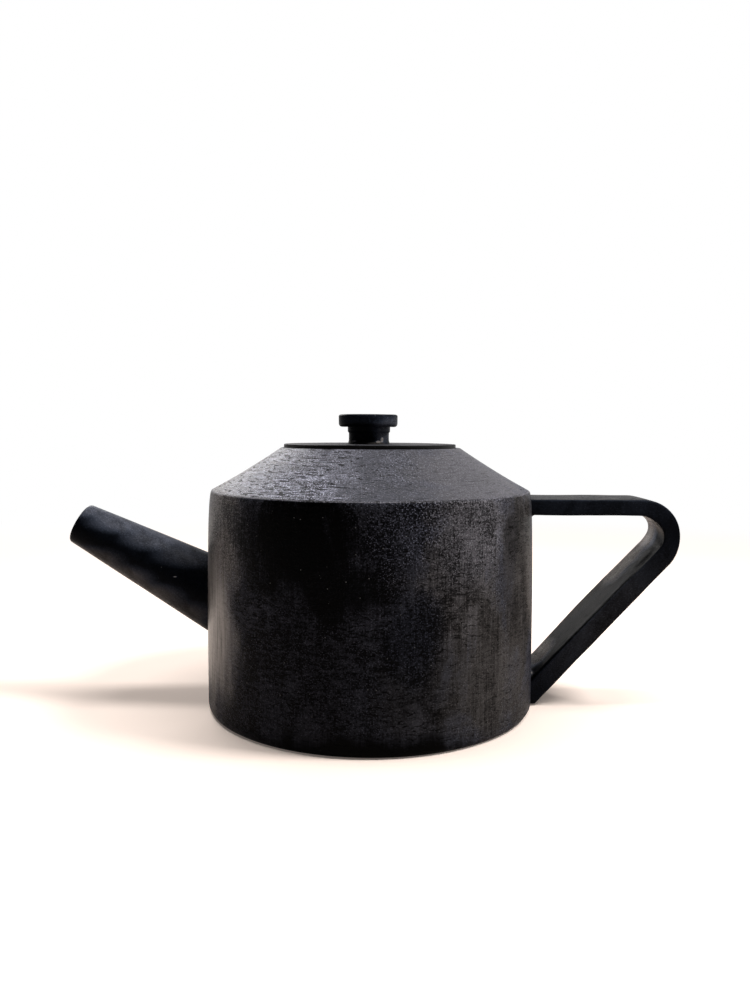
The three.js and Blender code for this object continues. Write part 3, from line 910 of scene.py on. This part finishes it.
def shapeStrap(bm):
    # The leaning leg is thicker, and the bend's inside, the top and all faces are a little uneven
    centre = Vector((strap["bendCentre"][0], 0, strap["bendCentre"][1])) * mm
    turned = math.radians(strap["bendTurn"])
    legOutward = Vector((math.sin(turned), 0, math.cos(turned)))
    legDown = Vector((math.cos(turned), 0, -math.sin(turned)))
    opens = 1 - math.cos(turned - math.pi / 2)
    innerRadius = strap["bendRadius"] - strap["thickness"]
    bm.normal_update()
    moves = []
    for vert in bm.verts:
        arm = Vector((vert.co.x - centre.x, 0, vert.co.z - centre.z))
        around = math.atan2(arm.x, arm.z)
        outward, thicker, ridge = arm.normalized(), 0, 0
        level = hump(around, 0, math.radians(strap["topReach"]))
        past = (around - turned) * innerRadius    # mm past the bend, less than 0 on it
        if arm.dot(legDown) > 0 and arm.dot(legOutward) > 0:
            outward, thicker, level = legOutward, 1, 0
            past = arm.dot(legDown) / mm
            ridge = strap["innerRidge"] * hump(past, strap["ridgeAt"], strap["ridgeReach"])
        elif arm.x < 0:
            outward, level = Vector((0, 0, 1)), 1
        elif around > math.pi / 2:
            thicker = (1 - math.cos(around - math.pi / 2)) / opens
        depth = (strap["bendRadius"] - arm.dot(outward) / mm) / strap["thickness"]    # 0 outside, 1 inside
        depth = max(0, min(1, depth))
        toBack = 0.5 + vert.co.y / (strap["width"] * mm)
        angle = math.degrees(around)
        swell = strap["innerSwell"] * hump(angle, strap["swellAt"], strap["bendReach"]) * (1 - toBack)
        hollow = strap["innerHollow"] * hump(angle, strap["hollowAt"], strap["bendReach"]) * toBack
        inward = (strap["legIn"] * thicker + swell - hollow + ridge * toBack) * depth
        inward -= strap["legOut"] * thicker * (1 - depth)
        fromFront = toBack * strap["width"]
        scored = hump(fromFront, strap["scorePlace"], strap["scoreWidth"])
        inward -= strap["scoreDepth"] * scored * min(1, 3 * thicker) * depth
        scooped = hump(past, strap["scoopAt"], strap["scoopReach"])
        scooped *= hump(fromFront, strap["scoopPlace"], strap["scoopWidth"])
        inward -= strap["scoopDepth"] * scooped * depth
        inward += strap["topFall"] * level * max(0, 1 - toBack / 0.4) ** 2 * (1 - depth) ** 2
        scraped = strap["scrapeDepth"] * slack(vert.co, strap["scrapeSize"], 2.3)
        wavy = strap["waveDepth"] * slack(vert.co, strap["waveSize"], 8.4)
        moves.append(-outward * inward * mm - vert.normal * (scraped + wavy) * mm)
    for vert, move in zip(bm.verts, moves):
        vert.co += move


def makeStrap():
    bm = bmesh.new()
    ring = drawSection(bm)
    centre = strap["bendCentre"]
    ring = pullLeg(bm, ring, (1, 0, 0), centre[0] - strap["cut"] + strap["overrun"])
    turnAngle = math.radians(strap["bendTurn"])
    bendSteps = int(turnAngle * strap["bendRadius"] / strap["step"])
    ring = bmesh.ops.spin(bm, geom=ring, cent=(centre[0] * mm, 0, centre[1] * mm), axis=(0, 1, 0),
                          angle=turnAngle, steps=bendSteps)["geom_last"]
    down = (math.cos(turnAngle), 0, -math.sin(turnAngle))
    pullLeg(bm, ring, down, centre[1] / math.sin(turnAngle) + strap["footOverrun"])
    bmesh.ops.remove_doubles(bm, verts=bm.verts[:], dist=0.001 * mm)
    bmesh.ops.recalc_face_normals(bm, faces=bm.faces[:])
    shapeStrap(bm)
    cutFlat(bm, (strap["cut"], 0, 0), (-1, 0, 0))
    cutFlat(bm, (0, 0, strap["rootLift"]), (0, 0, -1))
    finishPiece(makeObject("handleStrap", bm), clays["smoothed"], "pot", "smoothed_clay", "handle_strap",
                sharpest=40)


luting = {
    "width": 23.0,
    "hollow": 0.6,
    "step": 1.0,
    "sunk": 2.4,                   # mm into the wall
    "sideThinning": 0.75,
    "thumbDepth": 0.15,
    "thumbSize": 7,
    "upperWall": 70.4,             # mm from the axis to the wall at each of the two
    "lowerWall": 71.9,
    "upperRise": 0.55,             # over the CAD node, into the strap
    "cornerDrop": 7.2,             # from the lower one's top to the corner that it fills
    "alongStrap": 9,
    "alongWall": 3.6,
    "underCorner": 2,
}


def makeLuting(name, node, onWall, onStrap, corner, back):
    # A fillet of clay, thinned towards both sides of the strap
    pull = ((Vector(onWall) + Vector(onStrap)) / 2).lerp(Vector(corner), luting["hollow"])
    bm = bmesh.new()
    drawOutline(bm, curve(onStrap, pull, onWall, 8) + back, 50)
    half = luting["width"] / 2
    bmesh.ops.translate(bm, verts=bm.verts[:], vec=(0, -half * mm, 0))
    steps = int(luting["width"] / luting["step"])
    bmesh.ops.spin(bm, geom=bm.verts[:] + bm.edges[:], cent=(0, 0, 0), axis=(0, 1, 0),
                   dvec=(0, luting["width"] / steps * mm, 0), angle=0, steps=steps)
    middle = Vector((corner[0], 0, corner[1])) * mm
    for vert in bm.verts:
        share = 1 - luting["sideThinning"] * abs(vert.co.y / (half * mm)) ** 3
        flat = Vector((vert.co.x, 0, vert.co.z)) - middle
        thumb = 1 - luting["thumbDepth"] * slack(vert.co, luting["thumbSize"], 4.6)
        vert.co = middle + flat * share * thumb + Vector((0, vert.co.y, 0))
    closeHoles(bm)
    finishPiece(makeObject(name, bm), clays["smoothed"], "pot", "smoothed_clay", node, sharpest=60)


def makeLutings():
    low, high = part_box("handle_upper_luting")
    ceiling = high.z / mm + luting["upperRise"]
    foot, wallAt = low.z / mm, luting["upperWall"]
    back = wallAt - luting["sunk"]
    makeLuting("handleUpperFillet", "handle_upper_luting", (wallAt, foot), (high.x / mm, ceiling),
               (wallAt, ceiling), [(back, foot), (back, ceiling)])
    low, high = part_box("handle_lower_luting")
    lean = math.radians(180 - strap["bendTurn"])
    wallAt = luting["lowerWall"]
    back = wallAt - luting["sunk"]
    corner = (wallAt, high.z / mm - luting["cornerDrop"])
    reach = luting["alongStrap"]
    onStrap = (corner[0] + reach * math.cos(lean), corner[1] + reach * math.sin(lean))
    top, under = corner[1] + luting["alongWall"], corner[1] - luting["underCorner"]
    makeLuting("handleLowerFillet", "handle_lower_luting", (wallAt, top), onStrap, corner,
               [(back, top), (back, under)])


# Lid and knob

lid = {
    "shift": -0.4,                 # it sits a little towards the spout in its clearance
    "edgeRounding": 0.35,
    "underRounding": 0.4,
    "ventDiameter": 4.0,
    "ventPlace": 19.0,
    "drillLength": 12,
    "flangeThickness": 4,
    "flangeRounding": 0.8,
    "flangeTaper": 0.2,
    "unevenness": 0.15,
    "unevenSize": 22,
    "topBand": 1,                  # mm under the top that follow its unevenness
    "step": 1.6,
    "steps": 256,
}
knob = {
    "offset": -1.2,
    "stemOffset": -0.85,
    "seam": 0.3,                   # mm that the stem reaches into plate and cap
    "stemRadius": 8.9,
    "flare": 0.5,
    "flareHeight": 1.3,
    "flareRounding": 0.6,
    "collarStep": 0.5,
    "collarHeight": 2.2,
    "collarSlope": 0.5,
    "collarRounding": 0.2,
    "capUnder": 13.0,
    "topRounding": 0.9,
    "underRounding": 1.4,
    "unevenness": 0.1,
    "unevenSize": 8,
    "steps": 128,
}


def makeLid():
    low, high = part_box("lid_plate")
    radius, under, top = high.x / mm, low.z / mm, high.z / mm
    corners = [(0, under), (radius, under, lid["underRounding"]), (radius, top, lid["edgeRounding"])]
    bm = turned(corners + [(0, top)], lid["step"], lid["steps"], closed=False)
    for vert in bm.verts:
        if vert.co.z > (top - lid["topBand"]) * mm:
            vert.co.z -= lid["unevenness"] * slack(vert.co, lid["unevenSize"], 9.2) * mm
    bmesh.ops.translate(bm, verts=bm.verts[:], vec=(lid["shift"] * mm, 0, 0))
    plate = makeObject("lidDisc", bm)
    bm = bmesh.new()
    middle = Matrix.Translation(Vector((0, lid["ventPlace"], (under + top) / 2)) * mm)
    hole = lid["ventDiameter"] / 2 * mm
    bmesh.ops.create_cone(bm, cap_ends=True, segments=40, radius1=hole, radius2=hole,
                          depth=lid["drillLength"] * mm, matrix=middle)
    drill(plate, makeObject("ventDrill", bm))
    finishPiece(plate, clays["lid"], "lid", "lid_clay", "lid_plate")
    low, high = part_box("lid_flange")
    outer, bottom = high.x / mm, low.z / mm
    inner = outer - lid["flangeThickness"]
    rounding = lid["flangeRounding"]
    corners = [(inner, bottom, rounding), (outer, bottom, rounding)]
    corners += [(outer - lid["flangeTaper"], under), (inner, under)]
    bm = turned(corners, inside["step"], inside["steps"])
    bmesh.ops.translate(bm, verts=bm.verts[:], vec=(lid["shift"] * mm, 0, 0))
    finishPiece(makeObject("lidCollar", bm), clays["inside"], "lid", "inside_clay", "lid_flange")


def makeKnob():
    low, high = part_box("knob_stem")
    foot, neck = low.z / mm - knob["seam"], high.z / mm + knob["seam"]
    stem, collar = knob["stemRadius"], knob["stemRadius"] + knob["collarStep"]
    collarFoot = neck - knob["collarHeight"]
    corners = [
        (0, foot),
        (stem + knob["flare"], foot),
        (stem, foot + knob["flareHeight"], knob["flareRounding"]),
        (stem, collarFoot - knob["collarSlope"], knob["collarRounding"]),
        (collar, collarFoot, knob["collarRounding"]),
        (collar, neck),
        (0, neck),
    ]
    bm = turned(corners, 1.2, knob["steps"], closed=False)
    bmesh.ops.translate(bm, verts=bm.verts[:], vec=(knob["stemOffset"] * mm, 0, 0))
    finishPiece(makeObject("knobStalk", bm), clays["smoothed"], "lid", "smoothed_clay", "knob_stem")
    low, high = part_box("knob_cap")
    under, top, radius = low.z / mm, high.z / mm, (high.x - low.x) / 2 / mm
    corners = [(0, under), (knob["capUnder"], under, knob["underRounding"]),
               (radius, top, knob["topRounding"]), (0, top)]
    bm = turned(corners, 1.0, knob["steps"], closed=False)
    for vert in bm.verts:
        vert.co.z -= knob["unevenness"] * mm * slack(vert.co, knob["unevenSize"], 1.7)
    bmesh.ops.translate(bm, verts=bm.verts[:], vec=(knob["offset"] * mm, 0, 0))
    finishPiece(makeObject("knobButton", bm), clays["smoothed"], "lid", "smoothed_clay", "knob_cap")


# Build

addCamera()
addSurroundings()
for lampName, lamp in lamps.items():
    addLamp(lampName, lamp)
addFloor()
print("room ready")

groups = {
    "turnedSpace": turnedSpaceGroup(),
    "clayGrain": clayGrainGroup(),
    "dragMarks": dragMarksGroup(),
    "clayCloud": clayCloudGroup(),
    "softSpot": softSpotGroup(),
}
clays = {
    "trimmed": makeClay("trimmedClay", trimmedLook),
    "shoulder": makeClay("shoulderClay", shoulderLook),
    "lid": makeClay("lidClay", lidLook),
    "inside": makeClay("insideClay", insideLook),
    "smoothed": makeClay("smoothedClay", smoothedLook),
}
print("clays ready")

makeWall()
makeShoulder()
makeInside()
makeSpout()
makeStrap()
makeLutings()
makeLid()
makeKnob()
